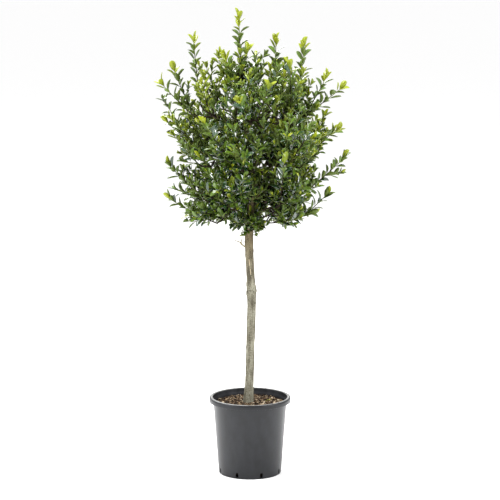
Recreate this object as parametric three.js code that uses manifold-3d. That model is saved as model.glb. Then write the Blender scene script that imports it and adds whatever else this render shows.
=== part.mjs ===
// A small-leaved evergreen grown as a standard: a round nursery pot, the potting mix in it, one
// clear stem with its boughs, and a crown of foliage masses with long young shoots standing out.
// Millimetres, +Z up. The origin is the middle of the pot's flat underside, and -Y is the front.

import * as THREE from "three";
import { mergeVertices } from "three/addons/utils/BufferGeometryUtils.js";
import Module from "manifold-3d";

const wasm = await Module();
wasm.setup();

// ---------------------------------------------------------------- driving dimensions

const CLEARANCE = 0.3; // air between a piece and the neighbour that carries it
const CUT_MARGIN = 0.5; // how much wider than a limb the channel is that a mass leaves for it

const POT = {
  height: 246,
  baseRadius: 100.5,
  topRadius: 117, // outside of the wall, just under the rim
  wall: 2.4,
  floor: 4,
  chamfer: 2.5,
  rimRadius: 130,
  rimDepth: 15, // height of the rim's outer skirt
  rimInnerRadius: 118.6,
  rimEdge: 2.4, // thickness of the rim's skirt and its bevels
  sides: 28,
};

const DRAIN = {
  count: 8,
  width: 9,
  height: 16,
  firstAngle: -114, // degrees from +X, so that two openings face the front
};

const MIX = {
  edgeHeight: 224,
  middleHeight: 228,
  middleRadius: 46, // level disc that the stem stands on
};

// The stem's centreline wanders a little. Each row is [height, x, y].
const STEM_LINE = [
  [228.3, -5, -2],
  [290, -2, -1],
  [400, 1, 0],
  [560, 5, 2],
  [665, 0, 2],
  [760, -3, 0],
  [860, 4, 3],
  [980, -4, 2],
  [1110, -12, 3],
  [1212, -16, 2],
];

const STEM = {
  forkHeight: 780, // the lowest bough leaves here
  lowRadius: 13.6, // above the root flare
  forkRadius: 12.9,
  tipRadius: 4,
  taper: 0.6, // power under 1: the stem thins quickly above the first forks
  flare: 3.2, // extra radius where the stem meets the mix
  flareHeight: 26,
  knotHeight: 585,
  knotSwell: 2.2,
  knotReach: 15,
  flutes: 3,
  fluting: 0.035, // depth of the flutes, as a share of the radius
  fluteTwist: 90, // climb in which the flutes turn by one radian
  sides: 10,
  rings: 22,
};

// Foliage masses stand in rings round the stem. A ring starts at the angle turn and fills arc, both
// in degrees; the skirt's arc leaves the front open. Reach is from the pot's axis to a mass's middle,
// size is half its width, flatten its height as a share of that, and slope how steeply it rises
// outwards. The boughs leave the stem from the height fork upwards, and bough is their radius there.
const RINGS = [
  {
    name: "skirt", count: 5, turn: -24, arc: 285, height: 842, reach: 120,
    size: 74, flatten: 0.56, slope: 0.35, fork: 782, bough: 4.6,
  },
  {
    name: "lower", count: 5, turn: 38, arc: 360, height: 936, reach: 124,
    size: 96, flatten: 0.74, slope: 0.25, fork: 846, bough: 5.6,
  },
  {
    name: "middle", count: 6, turn: 20, arc: 360, height: 1068, reach: 134,
    size: 114, flatten: 0.82, slope: 0.1, fork: 908, bough: 6.6,
  },
  {
    name: "upper", count: 5, turn: 52, arc: 360, height: 1188, reach: 142,
    size: 116, flatten: 0.8, slope: 0, fork: 990, bough: 6,
  },
];

const BOUGH = {
  endShare: 0.55, // radius at its end, as a share of the radius where it leaves the stem
  leaveAngle: Math.PI / 5, // climb where it leaves the stem
  handle: 0.32, // pull of the curve's handles, as a share of the bough's length
  aim: 40, // a bough comes into its mass as if from this far above its own fork
  step: 12, // height on the stem between one fork of a ring and the next
  sections: 4,
  sides: 5,
};

// Masses on the stem itself: the tip ends in the top one, and the collar wraps the first forks.
const TOP = { name: "top", height: 1256, x: -16, y: 2, size: 88, flatten: 0.8 };
const COLLAR = { name: "collar", height: 808, x: 0, y: -2, size: 64, flatten: 0.42 };

const MASS = {
  gap: 7, // air between neighbouring masses
  detail: 2, // subdivisions of the icosahedron
  entryDepth: 0.74, // where a bough ends, as a share of the mass's own radius
  jitterAngle: 7,
  jitterHeight: 12,
  jitterReach: 8,
  waveCount: 4, // slow swells that make each mass uneven
  waveHeight: 0.13, // as a share of the mass's radius
  wavePitch: [3, 6], // radians across the mass
  tuftCount: 5,
  tuftHeight: [0.1, 0.3], // as a share of the mass's size
  tuftSpread: 0.36, // radians
  tuftOutward: 1.25, // how strongly the tufts keep to the outer side
};

// A long shoot is a slim club: [distance back from the tip, radius] at each of its sections.
const SHOOT = {
  sections: [[22, 14], [62, 14], [112, 9]],
  rootRadius: 6,
  sides: 5,
  lean: 0.75, // share of the sideways way that is done when a shoot turns up
  rise: 0.35, // share of the climb that is done by then
  leastClimb: 0.4, // a mass this far below a tip, in its own sizes, suits it fully
  climbWeight: 2,
};

// The long shoots that give the crown its outline: [degrees from +X, distance from the axis, height].
const OUTLINE_SHOOTS = [
  [180, 36, 1466], // the leader
  [187, 176, 1400],
  [222, 112, 1345],
  [170, 250, 1304],
  [182, 290, 1260],
  [25, 88, 1388],
  [352, 168, 1382],
  [3, 246, 1278],
  [358, 300, 1242],
  [5, 296, 1102],
  [355, 308, 1028],
  [348, 262, 922],
  [340, 226, 846],
  [176, 277, 1134],
  [188, 266, 1008],
  [190, 272, 898],
  [204, 222, 838],
];

// The others stand round the front and the back, each as far out as the crown is wide there.
const ROUND_SHOOTS = {
  count: 18,
  arc: 104, // degrees that they spread over, about the front and about the back
  lowest: 860,
  highest: 1370,
  crownFoot: 770,
  crownHead: 1420,
  crownReach: 282,
};

// ---------------------------------------------------------------- small helpers

const radians = THREE.MathUtils.degToRad;
const GOLDEN_SHARE = (Math.sqrt(5) - 1) / 2;
const UP = new THREE.Vector3(0, 0, 1);

/** A repeatable stream of numbers from 0 to 1. */
function numberStream(seed) {
  let state = seed >>> 0;
  return () => {
    state = (state + 0x6d2b79f5) >>> 0;
    let t = Math.imul(state ^ (state >>> 15), 1 | state);
    t = (t + Math.imul(t ^ (t >>> 7), 61 | t)) ^ t;
    return ((t ^ (t >>> 14)) >>> 0) / 4294967296;
  };
}

/** The stream that belongs to one mass. */
const massStream = (index) => numberStream(101 + 37 * index);

/** The point at an angle in degrees from +X, a distance from the axis, and a height. */
function polar(degrees, reach, height) {
  const angle = radians(degrees);
  return new THREE.Vector3(reach * Math.cos(angle), reach * Math.sin(angle), height);
}

function toManifold(geometry) {
  const bare = new THREE.BufferGeometry();
  bare.setAttribute("position", geometry.getAttribute("position"));
  bare.setIndex(geometry.index);
  const merged = mergeVertices(bare, 1e-4);
  return new wasm.Manifold(
    new wasm.Mesh({
      numProp: 3,
      vertProperties: merged.attributes.position.array,
      triVerts: new Uint32Array(merged.index.array),
    }),
  );
}

function toGeometry(solid) {
  const mesh = solid.getMesh();
  const geometry = new THREE.BufferGeometry();
  geometry.setAttribute("position", new THREE.BufferAttribute(mesh.vertProperties, 3));
  geometry.setIndex(new THREE.BufferAttribute(mesh.triVerts, 1));
  geometry.computeVertexNormals();
  return geometry;
}

/** The biggest of the bodies that a cut left. */
function mainBody(solid) {
  return solid.decompose().sort((a, b) => b.volume() - a.volume())[0];
}

/** A closed solid through rings of points. A fan shuts each end: flat, or up to the apex given. */
function loft(rings, apex = null) {
  const sides = rings[0].length;
  const points = rings.flat();
  const faces = [];
  for (let i = 0; i + 1 < rings.length; i++) {
    for (let k = 0; k < sides; k++) {
      const a = i * sides + k;
      const b = i * sides + ((k + 1) % sides);
      faces.push(a, b, b + sides, a, b + sides, a + sides);
    }
  }
  for (const [ring, flip] of [[0, true], [rings.length - 1, false]]) {
    const middle = points.length;
    const centre = new THREE.Vector3();
    rings[ring].forEach((p) => centre.addScaledVector(p, 1 / sides));
    points.push(apex && !flip ? apex : centre);
    for (let k = 0; k < sides; k++) {
      const a = ring * sides + k;
      const b = ring * sides + ((k + 1) % sides);
      faces.push(middle, flip ? b : a, flip ? a : b);
    }
  }
  return new THREE.BufferGeometry().setFromPoints(points).setIndex(faces);
}

/** A profile of [radius, height] pairs turned about the Z axis. */
function turned(profile, sides) {
  const points = profile.map(([radius, height]) => new THREE.Vector2(radius, height));
  return new THREE.LatheGeometry(points, sides).rotateX(Math.PI / 2);
}

// ---------------------------------------------------------------- pot and potting mix

/** Inner radius of the pot's wall at a height. */
function potInside(height) {
  const rise = height / (POT.height - POT.rimDepth);
  return POT.baseRadius + (POT.topRadius - POT.baseRadius) * rise - POT.wall;
}

/** Half of the pot's section: floor, tapered wall, shoulder, and a rim that is hollow underneath. */
function potProfile() {
  const { height, baseRadius, topRadius, wall, floor, chamfer } = POT;
  const { rimRadius, rimInnerRadius, rimEdge } = POT;
  const skirt = height - POT.rimDepth;
  return [
    [0, 0],
    [baseRadius - chamfer, 0],
    [baseRadius, chamfer],
    [topRadius, skirt - wall],
    [rimInnerRadius + rimEdge, skirt + wall],
    [rimInnerRadius + rimEdge, height - rimEdge],
    [rimRadius - rimEdge, height - rimEdge],
    [rimRadius - rimEdge, skirt],
    [rimRadius, skirt],
    [rimRadius, height - rimEdge],
    [rimRadius - rimEdge, height],
    [rimInnerRadius + rimEdge, height],
    [rimInnerRadius, height - rimEdge],
    [rimInnerRadius, skirt + wall],
    [potInside(skirt - wall), skirt - wall],
    [potInside(floor), floor],
    [0, floor],
  ];
}

/** A round-headed block that cuts one drain opening through the foot of the wall. */
function drainCutter(degrees) {
  const { width, height } = DRAIN;
  const outline = new THREE.Shape();
  outline.moveTo(-width / 2, 0);
  outline.lineTo(width / 2, 0);
  outline.lineTo(width / 2, height - width / 2);
  outline.absarc(0, height - width / 2, width / 2, 0, Math.PI, false);
  const depth = 5 * POT.wall; // well through the wall on both sides
  const block = new THREE.ExtrudeGeometry(outline, { depth, bevelEnabled: false, curveSegments: 4 });
  block.rotateX(Math.PI / 2);
  block.rotateZ(radians(degrees + 90));
  block.translate(...polar(degrees, POT.baseRadius - depth / 2, POT.floor));
  return block;
}

function potSolid() {
  let pot = toManifold(turned(potProfile(), POT.sides));
  for (let i = 0; i < DRAIN.count; i++) {
    pot = pot.subtract(toManifold(drainCutter(DRAIN.firstAngle + (360 * i) / DRAIN.count)));
  }
  return toGeometry(pot);
}

function mixSolid() {
  const foot = POT.floor + CLEARANCE;
  const inside = (height) => potInside(height) * Math.cos(Math.PI / POT.sides) - CLEARANCE;
  return turned(
    [
      [0, foot],
      [inside(foot), foot],
      [inside(MIX.edgeHeight), MIX.edgeHeight],
      [MIX.middleRadius, MIX.middleHeight],
      [0, MIX.middleHeight],
    ],
    POT.sides,
  );
}

// ---------------------------------------------------------------- stem and boughs

const stemCurve = new THREE.CatmullRomCurve3(
  STEM_LINE.map(([height, x, y]) => new THREE.Vector3(x, y, height)),
  false,
  "centripetal",
);
const stemFoot = STEM_LINE[0][0];
const stemTip = STEM_LINE[STEM_LINE.length - 1][0];

/** The stem's centre at a height. */
function stemAt(height) {
  let low = 0;
  let high = 1;
  for (let i = 0; i < 30; i++) {
    const middle = (low + high) / 2;
    if (stemCurve.getPoint(middle).z < height) low = middle;
    else high = middle;
  }
  const point = stemCurve.getPoint((low + high) / 2);
  point.z = height;
  return point;
}

function stemRadius(height) {
  const { forkHeight, lowRadius, forkRadius, tipRadius, flare, flareHeight } = STEM;
  const below = THREE.MathUtils.clamp((height - stemFoot) / (forkHeight - stemFoot), 0, 1);
  const above = THREE.MathUtils.clamp((height - forkHeight) / (stemTip - forkHeight), 0, 1);
  const trunk = THREE.MathUtils.lerp(lowRadius, forkRadius, below);
  const tapered = THREE.MathUtils.lerp(trunk, tipRadius, Math.pow(above, STEM.taper));
  const knot = STEM.knotSwell * Math.exp(-(((height - STEM.knotHeight) / STEM.knotReach) ** 2));
  return tapered + knot + flare * Math.exp(-(height - stemFoot) / flareHeight);
}

/** Level sections stacked from the flat cut on the mix to the tip. */
function stemSolid(extra = 0) {
  const rings = [];
  for (let i = 0; i <= STEM.rings; i++) {
    const share = i / STEM.rings;
    const height = THREE.MathUtils.lerp(stemFoot, stemTip, share) + (i === STEM.rings ? extra : 0);
    const centre = stemAt(Math.min(height, stemTip));
    const ring = [];
    for (let k = 0; k < STEM.sides; k++) {
      const angle = (2 * Math.PI * k) / STEM.sides;
      const fluted = 1 + STEM.fluting * Math.cos(STEM.flutes * angle + height / STEM.fluteTwist);
      const radius = stemRadius(height) * fluted + extra;
      ring.push(new THREE.Vector3(
        centre.x + radius * Math.cos(angle),
        centre.y + radius * Math.sin(angle),
        height,
      ));
    }
    rings.push(ring);
  }
  return loft(rings);
}

/** A ring of points round a curve, square to it, the same side up all the way along. */
function ringAround(curve, share, radius, sides) {
  const centre = curve.getPointAt(share);
  const along = curve.getTangentAt(share);
  const heading = curve.getPointAt(1).sub(curve.getPointAt(0)).setZ(0);
  const up = along.clone().cross(UP.clone().cross(heading)).normalize();
  const side = up.clone().cross(along);
  return Array.from({ length: sides }, (_, k) => {
    const angle = (2 * Math.PI * k) / sides;
    return centre.clone()
      .addScaledVector(side, radius * Math.cos(angle))
      .addScaledVector(up, radius * Math.sin(angle));
  });
}

/** The line of a mass's bough: it leaves the stem sideways, sweeps up, and points at the mass. */
function boughCurve(mass) {
  const start = stemAt(mass.forkHeight);
  const end = mass.centre.clone().addScaledVector(mass.towardsStem, mass.entry);
  const leave = new THREE.Vector3(end.x - start.x, end.y - start.y, 0).normalize();
  leave.multiplyScalar(Math.cos(BOUGH.leaveAngle)).setZ(Math.sin(BOUGH.leaveAngle));
  const handle = BOUGH.handle * start.distanceTo(end);
  return new THREE.CubicBezierCurve3(
    start,
    start.clone().addScaledVector(leave, handle),
    end.clone().addScaledVector(mass.towardsStem, handle),
    end,
  );
}

/** A bough tapers from the stem's own line to its end in the mass, and is cut square there. */
function boughSolid(mass, extra = 0) {
  const curve = boughCurve(mass);
  const rings = [];
  for (let i = 0; i <= BOUGH.sections; i++) {
    const share = i / BOUGH.sections;
    const radius = mass.bough * THREE.MathUtils.lerp(1, BOUGH.endShare, share) + extra;
    rings.push(ringAround(curve, share, radius, BOUGH.sides));
  }
  return loft(rings);
}

// ---------------------------------------------------------------- foliage masses

/** Every mass with its place, its size and its own stream of numbers. */
function layOutMasses() {
  const masses = [];
  for (const ring of RINGS) {
    for (let i = 0; i < ring.count; i++) {
      const next = massStream(masses.length);
      const centre = polar(
        ring.turn + (ring.arc * i) / ring.count + MASS.jitterAngle * (2 * next() - 1),
        ring.reach + MASS.jitterReach * (2 * next() - 1),
        ring.height + MASS.jitterHeight * (2 * next() - 1),
      );
      const outward = centre.clone().setZ(0).normalize();
      const shortAxis = UP.clone().addScaledVector(outward, -ring.slope).normalize();
      const forkHeight = ring.fork + BOUGH.step * ((2 * i) % ring.count);
      const label = `${ring.name}_${i + 1}`;
      masses.push({ ...ring, label, centre, shortAxis, forkHeight, next, shoots: [] });
    }
  }
  for (const single of [TOP, COLLAR]) {
    const centre = new THREE.Vector3(single.x, single.y, single.height);
    const next = massStream(masses.length);
    masses.push({ ...single, label: single.name, centre, shortAxis: UP, next, shoots: [] });
  }
  return masses;
}

/** Radius of a mass in a direction before anything limits it. */
function freeRadius(mass, direction) {
  const { size, flatten } = mass;
  const upright = direction.dot(mass.shortAxis);
  const level = Math.sqrt(Math.max(0, 1 - upright ** 2));
  const smooth = size / Math.hypot(level, upright / flatten);
  let lumps = 0;
  for (const wave of mass.waves) lumps += Math.sin(wave.axis.dot(direction) * wave.pitch + wave.phase);
  let radius = smooth * (1 + (MASS.waveHeight * lumps) / MASS.waveCount);
  for (const tuft of mass.tufts) {
    const turn = tuft.direction.angleTo(direction) / MASS.tuftSpread;
    radius += tuft.swell * Math.exp(-turn * turn);
  }
  return radius;
}

/** Slow waves and short tufts that make each mass uneven in its own way. */
function addUnevenness(mass) {
  const { next } = mass;
  const between = ([low, high]) => THREE.MathUtils.lerp(low, high, next());
  const anyDirection = () =>
    new THREE.Vector3(next() - 0.5, next() - 0.5, next() - 0.5).normalize();
  mass.waves = Array.from({ length: MASS.waveCount }, () => ({
    axis: anyDirection(),
    pitch: between(MASS.wavePitch),
    phase: 2 * Math.PI * next(),
  }));
  const outward = new THREE.Vector3(mass.centre.x, mass.centre.y, mass.size).normalize();
  mass.tufts = Array.from({ length: MASS.tuftCount }, () => ({
    direction: anyDirection().addScaledVector(outward, MASS.tuftOutward).normalize(),
    swell: mass.size * between(MASS.tuftHeight),
  }));
}

/** The tips of the shoots round the front and the back, by turns. */
function roundShootTips() {
  const { count, arc, lowest, highest, crownFoot, crownHead, crownReach } = ROUND_SHOOTS;
  return Array.from({ length: count }, (_, i) => {
    const middle = i % 2 ? 90 : 270;
    const spread = ((i * GOLDEN_SHARE) % 1) - 0.5;
    const height = THREE.MathUtils.lerp(lowest, highest, (i + 0.5) / count);
    const width = Math.sin((Math.PI * (height - crownFoot)) / (crownHead - crownFoot));
    return polar(middle + arc * spread, crownReach * Math.sqrt(width), height);
  });
}

/** Gives each long shoot to the nearest mass that it can grow up from. */
function shareOutShoots(masses) {
  const tips = [...OUTLINE_SHOOTS.map((place) => polar(...place)), ...roundShootTips()];
  for (const tip of tips) {
    const cost = (mass) => {
      const climb = (tip.z - mass.centre.z) / mass.size;
      const lack = Math.max(0, SHOOT.leastClimb - climb);
      return mass.centre.distanceTo(tip) / mass.size + SHOOT.climbWeight * lack;
    };
    const owner = masses.reduce((best, mass) => (cost(mass) < cost(best) ? mass : best));
    owner.shoots.push(tip);
  }
}

/** A long shoot from the middle of its mass: it heads outwards, turns up and ends in a point. */
function shootSolid(mass, tip, extra = 0) {
  const bend = mass.centre.clone();
  bend.lerp(tip, SHOOT.lean).setZ(THREE.MathUtils.lerp(mass.centre.z, tip.z, SHOOT.rise));
  const curve = new THREE.QuadraticBezierCurve3(mass.centre, bend, tip);
  const length = curve.getLength();
  const stations = [[length, SHOOT.rootRadius], ...SHOOT.sections.toReversed()];
  const rings = stations
    .filter(([back]) => back <= length)
    .map(([back, radius]) => ringAround(curve, 1 - back / length, radius + extra, SHOOT.sides));
  return loft(rings, tip.clone().addScaledVector(curve.getTangentAt(1), extra));
}

/** Where each bough comes in, and the flat walls that keep a mass off its neighbours. */
function addWalls(masses) {
  for (const mass of masses) {
    mass.walls = [];
    if (mass.name !== COLLAR.name) {
      const source = mass.name === TOP.name ? stemAt(stemTip) : stemAt(mass.forkHeight + BOUGH.aim);
      const toSource = source.clone().sub(mass.centre);
      mass.towardsStem = toSource.clone().normalize();
      const inside = MASS.entryDepth * freeRadius(mass, mass.towardsStem);
      mass.entry = mass.name === TOP.name ? toSource.length() : inside;
      mass.walls.push({ normal: mass.towardsStem, offset: mass.entry - CLEARANCE });
    }
    for (const other of masses.filter((m) => m !== mass)) {
      const across = other.centre.clone().sub(mass.centre);
      const distance = across.length();
      const share = (distance ** 2 + mass.size ** 2 - other.size ** 2) / (2 * distance);
      mass.walls.push({ normal: across.normalize(), offset: share - MASS.gap / 2 });
    }
  }
}

/** The body of a mass: a ball pushed out into lumps, and held inside its walls. */
function massBody(mass) {
  const ball = new THREE.IcosahedronGeometry(1, MASS.detail);
  ball.deleteAttribute("normal");
  ball.deleteAttribute("uv");
  const body = mergeVertices(ball);
  const place = body.getAttribute("position");
  if (mass.towardsStem) {
    const corner = new THREE.Vector3().fromBufferAttribute(place, 0).normalize();
    body.applyQuaternion(new THREE.Quaternion().setFromUnitVectors(corner, mass.towardsStem));
  }
  for (let i = 0; i < place.count; i++) {
    const direction = new THREE.Vector3().fromBufferAttribute(place, i).normalize();
    let radius = freeRadius(mass, direction);
    for (const wall of mass.walls) {
      const facing = direction.dot(wall.normal);
      if (facing > 1e-6) radius = Math.min(radius, wall.offset / facing);
    }
    place.setXYZ(i, ...direction.multiplyScalar(radius).add(mass.centre));
  }
  return toManifold(body);
}

// ---------------------------------------------------------------- materials and assembly

function finish(colour, roughness) {
  return new THREE.MeshStandardMaterial({ color: colour, roughness, metalness: 0 });
}

const BLACK_PLASTIC = finish(0x2f3034, 0.45);
const BARK_MIX = finish(0x4a382a, 0.95);
const GREY_BARK = finish(0x9a957c, 0.85);
const YOUNG_BARK = finish(0x6b6350, 0.8);
const LEAF_GREEN = finish(0x3c5a26, 0.5);

function named(name, geometry, material) {
  const mesh = new THREE.Mesh(geometry, material);
  mesh.name = name;
  return mesh;
}

/** Boughs are cut to the stem, and each mass to the limbs and the shoots that pass through it. */
function plantMeshes() {
  const masses = layOutMasses();
  masses.forEach(addUnevenness);
  shareOutShoots(masses);
  addWalls(masses);
  const stemChannel = toManifold(stemSolid(CUT_MARGIN));
  const meshes = [named("trunk", stemSolid(), GREY_BARK)];
  for (const mass of masses) {
    mass.channels = mass.shoots.map((tip) => toManifold(shootSolid(mass, tip, CUT_MARGIN)));
    if (!mass.bough) continue;
    const bough = mainBody(toManifold(boughSolid(mass)).subtract(stemChannel));
    meshes.push(named(`bough_${mass.label}`, toGeometry(bough), YOUNG_BARK));
    mass.channels.push(toManifold(boughSolid(mass, CUT_MARGIN)));
  }
  for (const mass of masses) {
    let solid = massBody(mass);
    for (const other of masses.filter((m) => m !== mass)) {
      for (const channel of other.channels) solid = solid.subtract(channel);
    }
    for (const tip of mass.shoots) solid = solid.add(toManifold(shootSolid(mass, tip)));
    if (mass.name !== TOP.name) solid = solid.subtract(stemChannel);
    meshes.push(named(`foliage_${mass.label}`, toGeometry(mainBody(solid)), LEAF_GREEN));
  }
  return meshes;
}

const tree = new THREE.Group();
tree.add(named("pot", potSolid(), BLACK_PLASTIC));
tree.add(named("potting_mix", mixSolid(), BARK_MIX));
tree.add(...plantMeshes());

export default tree;
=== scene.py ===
"""A small-leaved evergreen standard in its nursery pot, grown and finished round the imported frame.

The script measures the frame's plain solids, grows twigs from the end of each bough through its mass,
sets leaves in a spiral on them, and gives the stem its bark, the pot its rim and the mix its chips.
Everything is in metres, +Z up, with -Y to the front.
"""

import math
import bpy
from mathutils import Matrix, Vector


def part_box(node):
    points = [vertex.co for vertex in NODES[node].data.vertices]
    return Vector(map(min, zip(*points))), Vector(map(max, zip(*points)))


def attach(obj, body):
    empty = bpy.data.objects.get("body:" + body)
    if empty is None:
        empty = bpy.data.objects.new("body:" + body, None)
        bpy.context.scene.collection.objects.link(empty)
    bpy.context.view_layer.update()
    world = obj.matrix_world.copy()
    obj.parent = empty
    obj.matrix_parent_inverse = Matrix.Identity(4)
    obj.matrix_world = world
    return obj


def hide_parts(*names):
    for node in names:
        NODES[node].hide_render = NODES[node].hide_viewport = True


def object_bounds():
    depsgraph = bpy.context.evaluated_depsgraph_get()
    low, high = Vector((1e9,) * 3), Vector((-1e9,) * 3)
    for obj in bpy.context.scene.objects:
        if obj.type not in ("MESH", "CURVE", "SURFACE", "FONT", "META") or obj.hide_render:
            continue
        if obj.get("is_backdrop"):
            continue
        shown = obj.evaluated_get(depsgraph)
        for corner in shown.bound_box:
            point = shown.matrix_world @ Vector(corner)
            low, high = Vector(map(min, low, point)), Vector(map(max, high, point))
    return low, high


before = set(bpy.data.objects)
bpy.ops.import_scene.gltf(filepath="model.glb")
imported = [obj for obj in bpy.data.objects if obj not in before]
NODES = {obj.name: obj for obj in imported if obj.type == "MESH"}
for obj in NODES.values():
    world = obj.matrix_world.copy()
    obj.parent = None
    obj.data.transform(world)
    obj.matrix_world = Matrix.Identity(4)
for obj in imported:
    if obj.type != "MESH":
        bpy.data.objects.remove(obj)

from types import SimpleNamespace

import bpy
import numpy as np
from mathutils import Euler, Vector, noise
from mathutils.bvhtree import BVHTree
from numpy.linalg import norm

CAD_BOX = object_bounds()
MM = 0.001
TURN = 2 * math.pi
UP = np.array([0.0, 0.0, 1.0])

# ---- driving sizes

# Where shoots stand. A table's value may be for one mass, for a tier of masses, or for any.
FORK_SHARE = 0.35  # how far up towards a place its growth fans out from
UPTURN = 0.08  # how strongly growth turns up at the crown's foot
UPTURN_GAIN = 0.5  # and how much more at its top
OUTER_TRIES = 1000
OUTER_SPACING = 42 * MM  # between shoots' tips on a mass
INNER_TRIES = 300
INNER_SPACING = 35 * MM  # inside and under a mass
INNER_NEAREST = 0.3  # how far from a mass's middle to its skin they end
INNER_FURTHEST = {"above": 0.7, "below": 0.92}
SIDE_SPACING = 19 * MM
SIDE_SHARE = 0.6  # of the places that try to bear a side shoot
SIDE_PART = 0.68  # of a shoot, from its base, has such places
OPENNESS = {  # above one where the crown shows more sky
    "any": 1.0, "top": 1.2, "upper": 1.3, "upper_3": 1.7, "upper_5": 1.1, "middle_1": 0.85,
    "middle_4": 1.5, "lower_3": 1.3, "lower_5": 0.85, "skirt_1": 1.2, "skirt_2": 0.8, "skirt_3": 0.8,
    "collar": 0.6,
}
EDGE = {"upper": 165 * MM, "any": 1.0}  # how far from the stem the shoots start to thin out
EDGE_HEIGHT = 1110 * MM  # above which they do
EDGE_OPENING = 24.0  # how much the spacing grows for each metre beyond
HOLLOWS = 11.0  # hollows and swells of the crown's surface in a metre
SWELL = 46 * MM  # how far the swells stand out
BARE_HOLLOW = -0.22  # the noise under which a hollow bears no shoot
TIP_DEPTH = (8 * MM, 28 * MM)  # how far inside the skin the outer shoots end
DEPTH = {"upper": 12 * MM, "top": 4 * MM, "any": 0}  # and how much further on its outward side
UNDERSIDE = {"skirt": -0.88, "any": -0.6}  # the least cosine of skin and growth with a shoot
ALONG_GROWTH = 0.35  # the cosine above which the depth runs along the growth
TWIST = 0.1  # how much an outer shoot strays from the growth round it
INNER_TWIST = 0.45
SPIRE_WIDTH = 34 * MM  # a mass thinner than this bears long shoots only
SHADE_REACH = 90 * MM  # how near another mass shades a shoot
SHADE_LOSS = 0.7  # of the shaded shoots are missing
STRONG_SHARE = {"any": 0.34, "top": 0.5, "upper_1": 0.6, "upper_2": 0.6, "upper_4": 0.7}  # outgrow the rest
STRONG_CLIMB = (0.7, 0.6)  # that share's factor at the crown's foot, and its gain to the top
STRONG_FACING = 0.2  # the cosine of skin and growth above which they do
STRONG_REACH = (18 * MM, 56 * MM)

# How long shoots are, and how they run.
OUTER_LENGTH = (130 * MM, 220 * MM)  # the leafy end of a twig
LONG_LENGTH = (180 * MM, 250 * MM)
SIDE_LENGTH = (36 * MM, 70 * MM)
ROOT_PART = 0.85  # of the way from the bough's end is a shoot's greatest length
SHORTEST = 30 * MM  # of a shoot whose base would be outside the mass
INWARD_LENGTH = 60 * MM  # of a shoot that turns to the mass's middle instead
LEAN_OUT = 0.4  # how strongly a shoot's base leans away from the bough's end
LEAN_DOWN = 0.12
SIDE_LEAN = 0.95  # how strongly a side shoot leans away from its host
SIDE_GROWTH = 0.35  # how strongly it bends to the growth round it
SIDE_UPTURN = 0.15
PROUD = 6 * MM  # how far out of its mass a side shoot may stand
LONG_PROUD = 22 * MM  # where it grows on a long shoot in the lower half of the crown
TIP_MARGIN = 15 * MM  # between a tip and the CAD box, for its leaves
CLUSTER_REACH = 32 * MM  # of the leaves past a shoot's tip
STEM_SPRIGS = [(764 * MM, -2.6), (766 * MM, -0.45), (772 * MM, 0.4), (770 * MM, 2.5)]  # height and angle
SPRIG_REACH = 4 * MM  # of these small shoots on the stem under the crown

# Twigs.
SIDE_REFERENCE = (0.3, 0.2, 0.9)  # where the turn of side shoots is counted from
LEAF_REFERENCE = (0.31, 0.17, 0.93)
NODE_STEP = 15 * MM  # between points along a twig
PULL = 0.8  # how strongly a twig keeps the ways it leaves and arrives in
TURN_COST = 1.2  # how unwilling a twig is to leave its parent backwards
TWIG_SIDES = 5
TIP_RADIUS = 1.15 * MM
TWIG_TAPER = 0.006  # of a twig's radius for each metre from its tip
TAPER_LENGTH = 200 * MM  # up to which it tapers so
TWIG_GAIN = 0.48 * MM  # of the radius with the root of the number of shoots carried
GREEN_LENGTH = 50 * MM  # of a twig's young end
GREY_RADIUS = 3 * MM  # above which a twig is grey

# Leaves: one at a time, each turned from the last, and crowded at the shoot's end.
LEAF_LENGTH = 33 * MM
LEAF_TURN = math.radians(137.5)
HABITS = {  # of each kind of shoot: its leaves' scale, width over length, and step
    "long": (1.16, 0.46, 8.5 * MM),
    "outer": (1.0, 0.38, 9 * MM),
    "side": (0.9, 0.38, 8 * MM),
    "inner": (0.9, 0.38, 10 * MM),
    "sprig": (0.66, 0.38, 5 * MM),
}
CLUSTER_STEPS = (1.5 * MM, 2.5 * MM, 4.5 * MM, 7 * MM)  # between the first leaves, from the tip
LEAFLESS = 4 * MM  # at a shoot's base
LEAF_SIZES = (0.76, 1.1)  # from the smallest leaf to the largest, times the scale
LEAF_WIDTHS = (0.85, 1.15)
SPREAD_TIP = 18  # degrees between the first leaf and the stem
SPREAD_GAIN = 8  # and how many more for each leaf
SPREAD_MOST = 54
SPREAD_STRAY = 0.13
TURN_STRAY = 0.15
UPWARD_AXIS = 0.26  # how strongly a leaf points up
UPWARD_FACE = 0.4  # and faces up
FACE_TWIST = 0.25

# The leaves' ages, and painted light: where the sun value is high, at the crown's top and towards its left
# and right sides, leaves are fresher and lighter green; where it is low they are more often deep green, as
# painted shade. Sun is one where the light is full.
SUN_CLIMB = 0.85  # at the crown's top
# painted light: the leaves are lighter further to the left or right, standing in for the side lamps
PAINTED_SIDE_LIGHT = 2.5  # more for each metre to a side, times the climb and the next value
PAINTED_SIDE_LIGHT_FOOT = 0.35
# the share of older leaves that are light green rather than deep green paints light and shade
PAINTED_LIGHT_SHARE = (0.2, 0.75)  # older leaves that are light: in shade, and how many more in sun
YOUNG_SHARE = 1.1  # of the outer shoots are young, times the sun squared
YOUNG_LEAVES = (5, 14)  # on such a shoot
SIDE_YOUNG = (0.3, 0.9)  # on a side shoot, of its host's
AGE_STRAY = 0.7  # leaves by which the change of age strays along a shoot
FRESH_LEAVES = 4.5  # on a shoot as fresh as one
BRIGHT_TIP = 3  # leaves at a shoot's end that are never deep green

# ---- arrays and meshes


def unit(v):
    """Vectors scaled to length one."""
    return v / np.maximum(norm(v, axis=-1, keepdims=True), 1e-12)


def sideways(way, turn, reference):
    """A direction square to a way, turned round it from a reference."""
    side = unit(np.cross(way, reference))
    return math.cos(turn) * side + math.sin(turn) * np.cross(way, side)


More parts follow.
